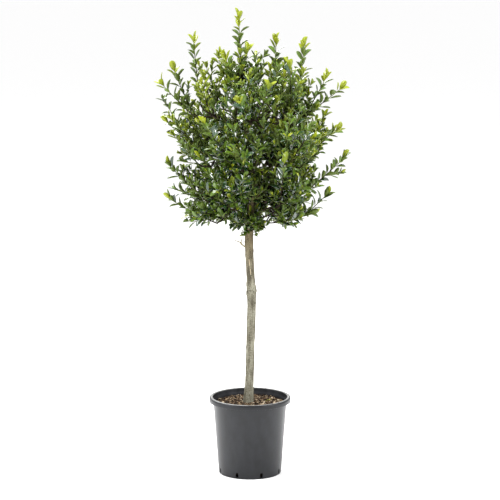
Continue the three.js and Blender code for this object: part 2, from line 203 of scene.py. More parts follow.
def solid_of(node):
    """The merged corners and the triangles of a CAD node."""
    mesh = NODES[node].data
    mesh.calc_loop_triangles()
    corners = np.array([vertex.co for vertex in mesh.vertices])
    triangles = np.array([triangle.vertices for triangle in mesh.loop_triangles])
    keys = np.round(corners / (0.01 * MM)).astype(int)
    _, first, where = np.unique(keys, axis=0, return_index=True, return_inverse=True)
    return corners[first], where.reshape(-1)[triangles]


def circle(sides):
    """Angles round a circle, and the level directions there."""
    angles = TURN * np.arange(sides) / sides
    return angles, np.stack([np.cos(angles), np.sin(angles), np.zeros(sides)], axis=1)


def level(angle):
    """The level direction at an angle."""
    return np.array([math.cos(angle), math.sin(angle), 0.0])


def turned(profile, sides):
    """Rings of points round the Z axis, for each radius and height of a profile."""
    return np.array([radius * circle(sides)[1] + height * UP for radius, height in profile])


def grid_faces(rows, sides):
    """Four-cornered faces between rows of points that close round a ring."""
    around = np.arange(sides)
    beside = (around + 1) % sides
    row = np.stack([around, beside, beside + sides, around + sides], axis=1)
    return ((np.arange(rows - 1) * sides)[:, None, None] + row[None]).reshape(-1, 4)


class Surface:
    """Collects patches of faces for one mesh."""

    def __init__(self):
        self.vertices = []
        self.faces = []
        self.materials = []
        self.count = 0

    def add(self, vertices, *patches):
        """Points, and patches of faces on them: rows of corners, and their materials."""
        for faces, materials in patches:
            self.faces += (self.count + faces).tolist()
            self.materials.append(np.broadcast_to(materials, len(faces)))
        self.vertices.append(np.asarray(vertices, float).reshape(-1, 3))
        self.count += len(self.vertices[-1])

    def add_rings(self, rings, materials=0):
        """A closed skin over rings of points, in one material or in one for each side face."""
        rows, sides = np.shape(rings)[:2]
        faces = grid_faces(rows, sides)
        kinds = np.broadcast_to(materials, len(faces))
        end = np.arange(sides)[None]
        self.add(rings, (faces, kinds), (end[:, ::-1], kinds[0]), (end + (rows - 1) * sides, kinds[-1]))

    def mesh(self, name, materials=()):
        """All that was added, as one mesh."""
        mesh = bpy.data.meshes.new(name)
        mesh.from_pydata(np.concatenate(self.vertices), [], self.faces, shade_flat=False)
        for made in materials:
            mesh.materials.append(made)
        mesh.polygons.foreach_set("material_index", np.concatenate(self.materials).astype(np.int32))
        mesh.update()
        mesh.validate()
        return mesh

    def piece(self, name, materials, replaced=()):
        """A mesh object on the root body."""
        made = linked(name, self.mesh(name, materials))
        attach(made, "root")
        if replaced:
            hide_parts(*replaced)
        return made


def linked(name, data):
    """A new object in the scene."""
    made = bpy.data.objects.new(name, data)
    bpy.context.scene.collection.objects.link(made)
    return made


def tube_rings(points, radii, sides):
    """Rings of points round a path, turned as little as can be from one to the next."""
    along = unit(np.gradient(points, axis=0))
    side = np.cross(along[0], (0.0, 0.0, 1.0))
    if norm(side) < 0.1:
        side = np.cross(along[0], (1.0, 0.0, 0.0))
    angles, _ = circle(sides)
    rings = np.zeros((len(points), sides, 3))
    for i, direction in enumerate(along):
        side = unit(side - direction * np.dot(side, direction))
        up = np.cross(direction, side)
        rings[i] = points[i] + radii[i] * (np.cos(angles)[:, None] * side + np.sin(angles)[:, None] * up)
    return rings


def smooth_path(points, step):
    """Points every step along a smooth curve through the ones given."""
    points = np.asarray(points, float)
    ends = np.vstack([2 * points[0] - points[1], points, 2 * points[-1] - points[-2]])
    out = []
    for i in range(1, len(points)):
        a, b, c, d = ends[i - 1:i + 3]
        pieces = max(1, int(round(norm(c - b) / step)))
        for t in np.arange(pieces)[:, None] / pieces:
            out.append(0.5 * (2 * b + (c - a) * t + (2 * a - 5 * b + 4 * c - d) * t ** 2
                              + (3 * b - a - 3 * c + d) * t ** 3))
    return np.vstack(out + [points[-1]])


def smooth_limb(points, radii, step):
    """A smooth path through some points, and its radii."""
    path = smooth_path(points, step)
    return path, np.interp(np.linspace(0, 1, len(path)), np.linspace(0, 1, len(points)), radii)


# ---- materials


def material(name, colour, roughness, **sockets):
    """A Principled material whose sockets are plain values."""
    made = bpy.data.materials.new(name)
    made.use_nodes = True
    shader = made.node_tree.nodes["Principled BSDF"]
    shader.inputs["Base Color"].default_value = (*colour, 1)
    shader.inputs["Roughness"].default_value = roughness
    for socket, value in sockets.items():
        shader.inputs[socket.replace("_", " ")].default_value = value
    return made


LEAF_FRESH, LEAF_YOUNG, LEAF_MATURE, LEAF_DEEP, FRESH_UNDER, YOUNG_UNDER, OLD_UNDER = range(7)
UNDERS = np.array([FRESH_UNDER, YOUNG_UNDER, OLD_UNDER, OLD_UNDER])  # for each upper side
GLOSS = {"Specular_IOR_Level": 0.1, "Coat_Weight": 0.7, "Coat_Roughness": 0.12}
BRIGHT = {"Specular_IOR_Level": 0.6, "Coat_Weight": 1.0, "Coat_Roughness": 0.07, "Coat_IOR": 1.75}
SATIN = {"Specular_IOR_Level": 0.1, "Coat_Weight": 0.15}
LEAF_MATERIALS = [
    material("leaf_fresh", (0.235, 0.28, 0.01), 0.42, **GLOSS),
    material("leaf_young", (0.152, 0.2, 0.012), 0.38, **GLOSS),
    material("leaf_mature", (0.082, 0.143, 0.013), 0.34, **GLOSS),
    # deep green: dealt out more where the painted light is low, as painted shade
    material("leaf_deep", (0.013, 0.048, 0.012), 0.24, **BRIGHT),
    material("leaf_fresh_under", (0.22, 0.26, 0.02), 0.5, **SATIN),
    material("leaf_young_under", (0.135, 0.175, 0.014), 0.5, **SATIN),
    material("leaf_old_under", (0.078, 0.112, 0.02), 0.5, **SATIN),
]
TWIG_GREEN, TWIG_BROWN, TWIG_GREY = range(3)
TWIG_MATERIALS = [
    material("twig_green", (0.085, 0.1, 0.018), 0.6, Specular_IOR_Level=0.2),
    material("twig_brown", (0.022, 0.015, 0.009), 0.8, Specular_IOR_Level=0.1),
    material("twig_grey", (0.03, 0.022, 0.015), 0.85, Specular_IOR_Level=0.1),
]


def set_input(tree, socket, value):
    """Gives an input a plain value or a link."""
    if isinstance(value, bpy.types.NodeSocket):
        tree.links.new(value, socket)
    else:
        socket.default_value = value


def new_node(tree, kind, **values):
    """A node with some of its settings and inputs given."""
    node = tree.nodes.new(kind)
    for key, value in values.items():
        name = key.replace("_", " ")
        if name in node.inputs:
            set_input(tree, node.inputs[name], value)
        else:
            setattr(node, key, value)
    return node


def drive(tree, name, value):
    """Links a value to the shader."""
    tree.links.new(value, tree.nodes["Principled BSDF"].inputs[name])


def stretched_noise(tree, stretch, scale, detail=6.0):
    """Noise in the piece's own space. A stretch below one draws it out up and down."""
    place = new_node(tree, "ShaderNodeTexCoord").outputs["Object"]
    drawn = new_node(tree, "ShaderNodeMapping", Scale=(1, 1, stretch), Vector=place).outputs["Vector"]
    return new_node(tree, "ShaderNodeTexNoise", Scale=scale, Detail=detail, Vector=drawn).outputs["Fac"]


def add_bump(tree, height, distance, strength=1.0):
    bump = new_node(tree, "ShaderNodeBump", Distance=distance, Strength=strength, Height=height)
    drive(tree, "Normal", bump.outputs["Normal"])


def ramped(tree, value, stops):
    """A colour for a value. Stops are (place, colour) pairs, from 0 to 1."""
    ramp = new_node(tree, "ShaderNodeValToRGB", Fac=value)
    elements = ramp.color_ramp.elements
    while len(elements) < len(stops):
        elements.new(0.5)
    for element, (place, colour) in zip(elements, stops):
        element.position = place
        element.color = (*colour, 1)
    return ramp.outputs["Color"]


def add_up(tree, shares):
    """The sum of some values, each times its share."""
    total = 0
    for value, share in shares:
        step = new_node(tree, "ShaderNodeMath", operation="MULTIPLY_ADD")
        for socket, given in zip(step.inputs, (value, share, total)):
            set_input(tree, socket, given)
        total = step.outputs[0]
    return total


def tinted(tree, colour, tint, amount):
    """A colour multiplied by a tint, as far as the amount says."""
    mix = new_node(tree, "ShaderNodeMix", data_type="RGBA", blend_type="MULTIPLY", Factor=amount)
    sockets = [socket for socket in mix.inputs if socket.type == "RGBA"]
    for socket, given in zip(sockets, (colour, (*tint, 1))):
        set_input(tree, socket, given)
    return next(socket for socket in mix.outputs if socket.type == "RGBA")


def band(tree, value, start, end, low=0.0, high=1.0):
    """Goes from low to high as a value goes from start to end."""
    limits = {"From_Min": start, "From_Max": end, "To_Min": low, "To_Max": high}
    return new_node(tree, "ShaderNodeMapRange", Value=value, **limits).outputs["Result"]


BARKS = {  # where the dark, the middle and the pale colour stand in the grain
    "bark": ((0.4, (0.05, 0.043, 0.027)), (0.5, (0.135, 0.126, 0.09)), (0.6, (0.235, 0.228, 0.175))),
    "bark_healed": ((0.3, (0.4, 0.34, 0.23)), (0.5, (0.5, 0.44, 0.33)), (0.7, (0.58, 0.53, 0.42))),
    "bark_scar": ((0.4, (0.012, 0.009, 0.006)), (0.5, (0.035, 0.028, 0.018)), (0.6, (0.07, 0.058, 0.04))),
    "bough_bark": ((0.36, (0.03, 0.023, 0.015)), (0.5, (0.075, 0.062, 0.042)), (0.66, (0.14, 0.125, 0.09))),
    "dead_twig": ((0.35, (0.1, 0.09, 0.05)), (0.5, (0.24, 0.23, 0.14)), (0.65, (0.4, 0.38, 0.26))),
}
PORE_TINT = (0.42, 0.38, 0.34)
# painted shade: this tint darkens and browns the bark under the crown
CROWN_SHADE_TINT = (0.72, 0.6, 0.42)
BROWNING_AND_SHADE = (600 * MM, 760 * MM)  # the heights between which the stem turns darker and browner: partly browner bark, partly painted shade under the crown


def bark_material(name):
    """Streaked and pored bark with a rough face, darker and browner towards the crown; the darkening is
    painted shade under the crown.
    """
    made = material(name, BARKS[name][1][1], 0.82, Specular_IOR_Level=0.3)
    tree = made.node_tree
    streaks = stretched_noise(tree, 0.16, 120.0)
    patches = stretched_noise(tree, 0.6, 34.0, 3.0)
    grain = stretched_noise(tree, 1.3, 260.0, 3.0)
    mixed = add_up(tree, [(streaks, 0.4), (patches, 0.3), (grain, 0.3)])
    pores = band(tree, stretched_noise(tree, 1.8, 330.0, 2.0), 0.58, 0.66)
    pored = tinted(tree, ramped(tree, mixed, BARKS[name]), PORE_TINT, pores)
    place = new_node(tree, "ShaderNodeTexCoord").outputs["Object"]
    height = new_node(tree, "ShaderNodeSeparateXYZ", Vector=place).outputs["Z"]
    drive(tree, "Base Color", tinted(tree, pored, CROWN_SHADE_TINT, band(tree, height, *BROWNING_AND_SHADE)))
    add_bump(tree, grain, 1.2 * MM, 0.6)
    return made


def plastic_material(name, colour, gloss, roughness):
    """Black recycled plastic, or the light grey of a painted highlight on it: finely mottled, with faint
    scuffs.
    """
    made = material(name, colour, roughness, Specular_IOR_Level=gloss)
    tree = made.node_tree
    mottle = stretched_noise(tree, 0.5, 45.0)
    stops = [(place, tuple(share * c for c in colour)) for place, share in ((0.3, 0.6), (0.7, 1.4))]
    drive(tree, "Base Color", ramped(tree, mottle, stops))
    drive(tree, "Roughness", band(tree, mottle, 0, 1, roughness - 0.07, roughness + 0.07))
    add_bump(tree, stretched_noise(tree, 1, 1400.0, 2.0), 0.2 * MM, 0.35)
    return made


def mix_material():
    made = material("potting_mix", (0.02, 0.014, 0.01), 0.95, Specular_IOR_Level=0.1)
    tree = made.node_tree
    crumbs = stretched_noise(tree, 1, 260.0)
    tint = ramped(tree, crumbs, [(0.35, (0.009, 0.0065, 0.0045)), (0.7, (0.075, 0.052, 0.034))])
    drive(tree, "Base Color", tint)
    add_bump(tree, crumbs, 2 * MM)
    return made


# ---- measures of the frame


def stem_sections():
    """Heights, centres and radii of the trunk's level sections."""
    corners, _ = solid_of("trunk")
    sections = []
    for height in np.unique(np.round(corners[:, 2], 5)):
        ring = corners[np.abs(corners[:, 2] - height) < 0.1 * MM]
        if len(ring) >= 6:
            centre = ring.mean(axis=0)
            radius = norm(ring[:, :2] - centre[:2], axis=1).max()
            sections.append((height, *centre[:2], radius))
    return np.array(sections)


STEM = stem_sections()


def stem_at(height):
    """Centre of the stem at a height, and its radius there."""
    x, y, radius = (np.interp(height, STEM[:, 0], STEM[:, column]) for column in (1, 2, 3))
    return np.array([x, y, height]), radius


def slice_solid(corners, triangles, origin, normal):
    """Middle and mean radius of the cut that a plane makes through a solid."""
    height = (corners - origin) @ normal
    cuts = []
    for start, end in ((0, 1), (1, 2), (2, 0)):
        a, b = triangles[:, start], triangles[:, end]
        across = height[a] * height[b] < 0
        a, b = a[across], b[across]
        share = height[a] / (height[a] - height[b])
        cuts.append(corners[a] + share[:, None] * (corners[b] - corners[a]))
    cuts = np.vstack(cuts)
    if not len(cuts):
        return None
    middle = (cuts.min(axis=0) + cuts.max(axis=0)) / 2
    return middle, norm(cuts - middle, axis=1).mean()


LIMB_CUTS = (0.2, 0.4, 0.6, 0.8, 0.97)  # along a bough


def limb_line(node):
    """Points and radii along a bough, from inside the stem to its end in its mass."""
    corners, triangles = solid_of(node)
    from_stem = [norm(c - stem_at(c[2])[0]) for c in corners]
    start = corners[np.argsort(from_stem)[:4]].mean(axis=0)
    end = corners[np.argsort(norm(corners - start, axis=1))[-5:]].mean(axis=0)
    cuts = [slice_solid(corners, triangles, start + share * (end - start), unit(end - start))
            for share in LIMB_CUTS]
    points, radii = zip(*[cut for cut in cuts if cut])
    inward = points[0] + 1.6 * (points[0] - points[1])
    root = 0.5 * (inward + stem_at(inward[2])[0])
    return np.array([root, *points]), np.array([1.25 * radii[0], *radii])


SHARP = 0.8  # how much the edges at a spire run one way


def spires(corners, triangles):
    """The sharp points of a mass, where long shoots end, and their directions."""
    found = []
    for index, corner in enumerate(corners):
        around = np.setdiff1d(triangles[(triangles == index).any(axis=1)], index)
        away = unit(corner - corners[around]).mean(axis=0)
        if norm(away) > SHARP:
            found.append((corner, unit(away)))
    return found


TOP_DROP = 60 * MM  # from the top mass's middle to where its growth starts
TOP_SECTIONS = 8  # of the stem's top among which that is


def growth_start(label, centre):
    """Where a mass's growth starts, and which way it goes there."""
    bough = f"bough_{label}"
    if bough in NODES:
        points, _ = limb_line(bough)
        return points[-1], unit(points[-1] - points[-2])
    height = centre[2]
    if label == "top":
        height = min(max(height - TOP_DROP, STEM[-TOP_SECTIONS, 0]), STEM[-1, 0])
    return stem_at(height)[0], UP


def measure_mass(node):
    """A foliage mass: its solid, its middle, its long shoots and where growth starts."""
    corners, triangles = solid_of(node)
    label = node.removeprefix("foliage_")
    a, b, c = (corners[triangles[:, corner]] for corner in range(3))
    areas = norm(np.cross(b - a, c - a), axis=1) / 2
    centre = np.average(corners[triangles].mean(axis=1), axis=0, weights=areas)
    root, heading = growth_start(label, centre)
    return SimpleNamespace(
        label=label, node=node, corners=corners, triangles=triangles, areas=areas, centre=centre,
        tree=BVHTree.FromPolygons(corners.tolist(), triangles.tolist()),
        spires=spires(corners, triangles), root=root, heading=heading)


MASSES = [measure_mass(node) for node in sorted(NODES) if node.startswith("foliage_")]
CROWN_LOW = min(mass.corners[:, 2].min() for mass in MASSES)
CROWN_HIGH = max(mass.corners[:, 2].max() for mass in MASSES)
TIP_BOX = (np.array(CAD_BOX[0]) + TIP_MARGIN, np.array(CAD_BOX[1]) - TIP_MARGIN)

# ---- growth


def climb_of(place):
    """How high in the crown a place is, from 0 at its foot to 1 at its top."""
    return float(np.clip((place[2] - CROWN_LOW) / (CROWN_HIGH - CROWN_LOW), 0, 1))


def growing_direction(place):
    """Which way a shoot points at a place: away from the stem below it, and turned up."""
    fork, _ = stem_at(CROWN_LOW + FORK_SHARE * (place[2] - CROWN_LOW))
    return unit(unit(place - fork) + (UPTURN + UPTURN_GAIN * climb_of(place)) * UP)


def tuned(table, mass):
    """The value a table gives for a mass, for its tier, or for any."""
    label = mass.label
    return table.get(label, table.get(label.split("_")[0], table["any"]))


def crowded(mass, place, others, spacing):
    """Whether another tip stands nearer than the spacing, widened where the crown is open."""
    beyond = (math.hypot(place[0], place[1]) - tuned(EDGE, mass)) * (place[2] > EDGE_HEIGHT)
    spacing *= tuned(OPENNESS, mass) + EDGE_OPENING * max(0, beyond)
    return bool(others) and norm(np.array(others) - place, axis=1).min() < spacing


def scatter_on(mass, rng, count):
    """Random places on a mass's skin and its direction there, none on a spire."""
    chosen = rng.choice(len(mass.areas), count, p=mass.areas / mass.areas.sum())
    a, b = np.sort(rng.random((2, count)), axis=0)[:, :, None]
    corners = mass.corners[mass.triangles[chosen]]
    places = corners[:, 0] * a + corners[:, 1] * (b - a) + corners[:, 2] * (1 - b)
    faces = unit(np.cross(corners[:, 1] - corners[:, 0], corners[:, 2] - corners[:, 0]))
    kept = []
    for place, face in zip(places, faces):
        across = mass.tree.ray_cast(Vector(place - face * 0.5 * MM), Vector(-face))[3]
        if across is None or across > SPIRE_WIDTH:
            kept.append((place, face))
    return kept


def shaded(mass, place, direction):
    """Whether another mass stands close in front of a place."""
    others = (other.tree for other in MASSES if other is not mass)
    return any(tree.ray_cast(Vector(place), Vector(direction), SHADE_REACH)[0] for tree in others)


def stands_proud(mass, place, limit):
    """Whether a place is outside a mass by more than a limit."""
    found, normal, _, distance = mass.tree.find_nearest(Vector(place))
    return distance > limit and (Vector(place) - found).dot(normal) > 0


def hermite(start, start_way, end, end_way):
    """Points after start, up to end, that leave and arrive in the ways given."""
    distance = norm(end - start)
    pieces = max(1, int(round(distance / NODE_STEP)))
    t = (np.arange(1, pieces + 1) / pieces)[:, None]
    pull = PULL * distance
    return ((2 * t ** 3 - 3 * t ** 2 + 1) * start + (t ** 3 - 2 * t ** 2 + t) * pull * start_way
            + (3 * t ** 2 - 2 * t ** 3) * end + (t ** 3 - t ** 2) * pull * end_way)


class Skeleton:
    """The twigs of one mass as a tree of points, grown one shoot at a time."""

    def __init__(self, root, heading):
        self.points = [root]
        self.ways = [heading]
        self.parents = [-1]
        self.open = [True]
        self.tips = []

    def extend(self, start, points, opened):
        """Adds a run of points after a point, and returns their indices."""
        made = []
        for point in points:
            self.ways.append(unit(point - self.points[start]))
            self.points.append(point)
            self.parents.append(start)
            self.open.append(opened)
            start = len(self.points) - 1
            made.append(start)
        return made

    def join(self, shoot):
        """Grows a bare link to a shoot's base from a point close by and not behind it, then the shoot."""
        toward = shoot.base - np.array(self.points)
        turn = 1 - np.sum(unit(toward) * np.array(self.ways), axis=1)
        cost = norm(toward, axis=1) * (1 + TURN_COST * turn) + np.where(self.open, 0, 1)
        start = int(np.argmin(cost))
        link = hermite(self.points[start], self.ways[start], shoot.base, shoot.lean)
        self.grow(self.extend(start, link, True)[-1], shoot)

    def grow(self, base, shoot):
        """Grows a shoot from a point. Other twigs don't leave from it."""
        leafy = hermite(self.points[base], shoot.lean, shoot.tip, shoot.direction)
        shoot.nodes = [base] + self.extend(base, leafy, False)
        shoot.line = np.array([self.points[index] for index in shoot.nodes])
        self.tips.append(shoot.nodes[-1])

    def loads(self):
        """How many shoots each point carries."""
        load = np.zeros(len(self.points))
        load[self.tips] = 1
        for index in range(len(self.points) - 1, 0, -1):
            load[self.parents[index]] += load[index]
        return load

    def chains(self, load):
        """Runs of points from each fork to a tip, the main run of a fork going straight on."""
        heir = {}
        for index in range(1, len(self.points)):
            parent = self.parents[index]
            if parent not in heir or load[index] > load[heir[parent]]:
                heir[parent] = index
        starts = [0] + [i for i in range(1, len(self.points)) if heir[self.parents[i]] != i]
        for start in starts:
            run = [start]
            while run[-1] in heir:
                run.append(heir[run[-1]])
            if start:
                run.insert(0, self.parents[start])
            if len(run) > 1:
                yield run


def shoot_to(mass, tip, direction, length, kind):
    """A shoot that leaves its twig leaning outwards and turns up to its tip."""
    from_root = tip - mass.root
    lean = unit(direction + LEAN_OUT * unit(from_root) - LEAN_DOWN * UP)
    along = unit(direction + lean)
    reach = min(length, ROOT_PART * norm(from_root))
    while reach > SHORTEST and stands_proud(mass, tip - reach * along, 0):
        reach *= 0.8
    if kind == "outer" and stands_proud(mass, tip - reach * along, 0):
        lean = unit(tip - mass.centre)
        direction = unit(0.8 * lean + 0.5 * direction)
        along = unit(direction + lean)
        reach = max(reach, INWARD_LENGTH)
    return SimpleNamespace(tip=tip, direction=direction, lean=lean, kind=kind, base=tip - reach * along)


def long_shoots(mass, rng, taken):
    """A shoot to each spire of a mass. The tips of all shoots join the places taken."""
    for apex, direction in mass.spires:
        tip = apex - CLUSTER_REACH * direction
        taken.append(tip)
        yield shoot_to(mass, tip, direction, rng.uniform(*LONG_LENGTH), "long")


def outer_shoots(mass, rng, taken):
    """The shoots over a mass's skin, with hollows and swells between them."""
    for place, face in scatter_on(mass, rng, OUTER_TRIES):
        direction = unit(growing_direction(place) + TWIST * rng.normal(size=3))
        swell = noise.noise(Vector(place) * HOLLOWS)
        facing = np.dot(face, direction)
        inwards = direction if facing > ALONG_GROWTH else face
        depth = rng.uniform(*TIP_DEPTH) + tuned(DEPTH, mass) * (facing > 0)
        tip = place + swell * SWELL * direction - depth * inwards
        likely = tuned(STRONG_SHARE, mass) * (STRONG_CLIMB[0] + STRONG_CLIMB[1] * climb_of(place))
        strong = rng.random() < likely
        if facing < tuned(UNDERSIDE, mass) or crowded(mass, tip, taken, OUTER_SPACING):
            continue
        dim = mass.label != "collar" and shaded(mass, place, direction)
        if swell < BARE_HOLLOW or (dim and rng.random() < SHADE_LOSS):
            continue
        taken.append(tip)
        length = rng.uniform(*OUTER_LENGTH)
        if strong and facing > STRONG_FACING:
            reach = rng.uniform(*STRONG_REACH)
            tip = tip + direction * reach
            length += reach
        yield shoot_to(mass, np.clip(tip, *TIP_BOX), direction, length, "outer")


def stem_sprigs(mass):
    """The short leafy shoots that stand out of the stem just under the crown."""
    for height, angle in STEM_SPRIGS:
        centre, radius = stem_at(height)
        out = level(angle)
        tip = centre + (radius + SPRIG_REACH) * out
        yield shoot_to(mass, tip, unit(out + 0.1 * UP), 3 * SPRIG_REACH, "sprig")


def inner_shoots(mass, rng, taken):
    """The shaded shoots inside a mass, and more of them under its middle."""
    for place, face in scatter_on(mass, rng, INNER_TRIES):
        furthest = INNER_FURTHEST["above" if face[2] > 0 else "below"]
        tip = mass.centre + (place - mass.centre) * rng.uniform(INNER_NEAREST, furthest)
        if crowded(mass, tip, taken, INNER_SPACING):
            continue
        taken.append(tip)
        direction = unit(growing_direction(tip) + INNER_TWIST * rng.normal(size=3))
        yield shoot_to(mass, tip, direction, rng.uniform(*OUTER_LENGTH), "inner")


def side_shoots(skeleton, host, mass, rng, taken):
    """Short shoots that stand along the lower part of a shoot, to one side and the other."""
    turn = rng.uniform(0, TURN)
    low_spire = host.kind == "long" and climb_of(host.tip) < 0.5
    proud = LONG_PROUD if low_spire else PROUD
    last = max(2, int(SIDE_PART * len(host.nodes)))
    for node in host.nodes[1:last]:
        turn += LEAF_TURN
        if rng.random() > SIDE_SHARE:
            continue
        along = skeleton.ways[node]
        length = rng.uniform(*SIDE_LENGTH)
        start = skeleton.points[node]
        lean = unit(along + SIDE_LEAN * sideways(along, turn, SIDE_REFERENCE))
        direction = unit(lean + SIDE_GROWTH * growing_direction(start) + SIDE_UPTURN * UP)
        tip = np.clip(start + length * unit(lean + direction), *TIP_BOX)
        if crowded(mass, tip, taken, SIDE_SPACING) or stands_proud(mass, tip, proud):
            continue
        taken.append(tip)
        shoot = SimpleNamespace(tip=tip, direction=direction, lean=lean, kind="side", host=host)
        skeleton.grow(node, shoot)
        yield shoot


def build_twigs(mass, skeleton):
    """The twig mesh of a mass: green at the tips, then brown, then grey where it is thick."""
    surface = Surface()
    load = skeleton.loads()
    for run in skeleton.chains(load):
        loads = load[run]
        loads[0] = loads[1]
        radii = TIP_RADIUS + TWIG_GAIN * (np.sqrt(np.maximum(loads, 1)) - 1)
        radii[-1] *= 0.7
        line, radii = smooth_limb([skeleton.points[i] for i in run], radii, NODE_STEP)
        to_tip = np.cumsum(norm(np.diff(line, axis=0), axis=1)[::-1])[::-1]
        radii[:-1] += TWIG_TAPER * np.minimum(to_tip, TAPER_LENGTH)
        kinds = np.where(to_tip < GREEN_LENGTH, TWIG_GREEN, TWIG_BROWN)
        kinds = np.where(radii[:-1] > GREY_RADIUS, TWIG_GREY, kinds)
        surface.add_rings(tube_rings(line, radii, TWIG_SIDES), np.repeat(kinds, TWIG_SIDES))
    surface.piece(f"twigs_{mass.label}", TWIG_MATERIALS)


# ---- leaves

# The outline of a blade: places along the leaf, and widths there. The stalk comes first.
BLADE = ((0.0, 0.045), (0.12, 0.05), (0.3, 0.66), (0.58, 1.0), (0.82, 0.84), (0.94, 0.5))
BLADE_THICKNESS = 0.012
BENDS = ((0.3, 0.12), (0.16, 0.24), (0.42, 0.05), (0.22, -0.05))  # fold and curl of each leaf shape


def leaf_shape(fold, curl):
    """A leaf of length one along +Y, its upper face to +Z, folded on its midrib and curled back."""
    vertices = []
    for place, width in BLADE:
        drop = -curl * place ** 2
        lift = 0.5 * width * fold
        for x, z in ((0.5 * width, lift), (0.0, 0.0), (-0.5 * width, lift), (0.0, -BLADE_THICKNESS)):
            vertices.append((x, place, z + drop))
    return np.array(vertices + [(0.0, 1.0, -curl)])


LEAF_SHAPES = [leaf_shape(*bend) for bend in BENDS]
LEAF_TIP = len(LEAF_SHAPES[0]) - 1
LEAF_QUADS = grid_faces(len(BLADE), 4)[:, [0, 3, 2, 1]]
LEAF_TRIANGLES = np.array([[LEAF_TIP - 4 + side, LEAF_TIP, LEAF_TIP - 4 + (side + 1) % 4]
                           for side in range(4)] + [[0, 1, 3], [1, 2, 3]])
UNDER_QUADS = np.arange(len(LEAF_QUADS)) % 4 > 1
UNDER_TRIANGLES = np.arange(len(LEAF_TRIANGLES)) > 1


def leaves_of(shoot, rng):
    """Each leaf's place, the stem's way there, and its side, spread, size, width and colour."""
    line = shoot.line
    lengths = np.concatenate([[0], np.cumsum(norm(np.diff(line, axis=0), axis=1))])
    along = unit(np.gradient(line, axis=0))
    scale, share, step = HABITS[shoot.kind]
    turn = rng.uniform(0, TURN)
    back = 0.0
    leaves = []
    while back < lengths[-1] - LEAFLESS:
        number = len(leaves)
        here = lengths[-1] - back
        point, way = (np.array([np.interp(here, lengths, column) for column in values.T])
                      for values in (line, along))
        way = unit(way)
        out = sideways(way, turn, LEAF_REFERENCE)
        spread = math.radians(min(SPREAD_TIP + SPREAD_GAIN * number, SPREAD_MOST))
        spread += rng.normal(0, SPREAD_STRAY)
        full = 1.0 if shoot.kind == "long" else min(1.0, 0.82 + 0.05 * number)
        size = full * rng.uniform(*LEAF_SIZES) * scale
        width = share * rng.uniform(*LEAF_WIDTHS)
        leaves.append((point, way, out, spread, size, width, leaf_age(shoot, number, rng)))
        turn += LEAF_TURN + rng.normal(0, TURN_STRAY)
        back += CLUSTER_STEPS[number] if number < len(CLUSTER_STEPS) else step * rng.uniform(0.8, 1.2)
    return leaves


def leaf_age(shoot, number, rng):
    """The colour of a leaf's upper side, by its number from the shoot's tip and by its shoot's painted
    light.
    """
    age = number + rng.normal(0, AGE_STRAY)
    if age < FRESH_LEAVES * shoot.fresh:
        return LEAF_FRESH
    if age < shoot.young:
        return LEAF_YOUNG
    # the shoot's light is its painted light share: older leaves are light green by it, else deep green as
    # painted shade
    return LEAF_MATURE if age < BRIGHT_TIP or rng.random() < shoot.light else LEAF_DEEP


def build_leaves(mass, shoots, rng):
    """All the leaves of a mass in one mesh, which stands for its solid."""
    rows = [leaf for shoot in shoots for leaf in leaves_of(shoot, rng)]
    points, ways, outs, spreads, sizes, shares, ages = (np.array(column) for column in zip(*rows))
    spreads = spreads[:, None]
    axes = unit(np.cos(spreads) * ways + np.sin(spreads) * outs + UPWARD_AXIS * UP)
    strays = FACE_TWIST * rng.normal(size=(len(rows), 3))
    faces = np.sin(spreads) * ways - np.cos(spreads) * outs + UPWARD_FACE * UP + strays
    faces = unit(faces - axes * np.sum(faces * axes, axis=1, keepdims=True))
    lengths = (LEAF_LENGTH * sizes)[:, None, None]
    widths = shares[:, None, None] * lengths
    frames = [widths * np.cross(axes, faces)[:, None], lengths * axes[:, None], lengths * faces[:, None]]
    kinds = rng.integers(0, len(LEAF_SHAPES), len(rows))
    surface = Surface()
    for kind, shape in enumerate(LEAF_SHAPES):
        chosen = np.nonzero(kinds == kind)[0]
        vertices = points[chosen, None] + sum(
            shape[:, column:column + 1] * axis[chosen] for column, axis in enumerate(frames))
        starts = (len(shape) * np.arange(len(chosen)))[:, None, None]
        patches = []
        for corners, under in ((LEAF_QUADS, UNDER_QUADS), (LEAF_TRIANGLES, UNDER_TRIANGLES)):
            sides = np.where(under, UNDERS[ages[chosen, None]], ages[chosen, None])
            patches.append(((corners + starts).reshape(-1, corners.shape[1]), sides.reshape(-1)))
        surface.add(vertices, *patches)
    surface.piece(f"leaves_{mass.label}", LEAF_MATERIALS, [mass.node])


def give_age(shoot, rng):
    """How many of a shoot's leaves are fresh or young, and how light the others are, by the painted light
    at its tip.
    """
    climb = climb_of(shoot.tip)
    # painted light: higher in the crown and further to the left or right
    sun_and_painted_light = min(1.0, SUN_CLIMB * climb ** 2 + PAINTED_SIDE_LIGHT * abs(shoot.tip[0]) * (PAINTED_SIDE_LIGHT_FOOT + climb))
    shoot.light = PAINTED_LIGHT_SHARE[0] + PAINTED_LIGHT_SHARE[1] * sun_and_painted_light
    shoot.fresh = 0.0
    shoot.young = 0.0
    if shoot.kind == "long":
        shoot.fresh = max(0, 1.5 * climb - 0.4)
        shoot.young = max(0, 8 * climb - 1.5)
    elif shoot.kind == "side":
        shoot.young = shoot.host.young * rng.uniform(*SIDE_YOUNG)
    elif shoot.kind == "outer" and rng.random() < YOUNG_SHARE * sun_and_painted_light ** 2:
        shoot.young = rng.uniform(*YOUNG_LEAVES)
        shoot.fresh = max(0, rng.uniform(-1.4, 0.3) + 0.6 * climb)


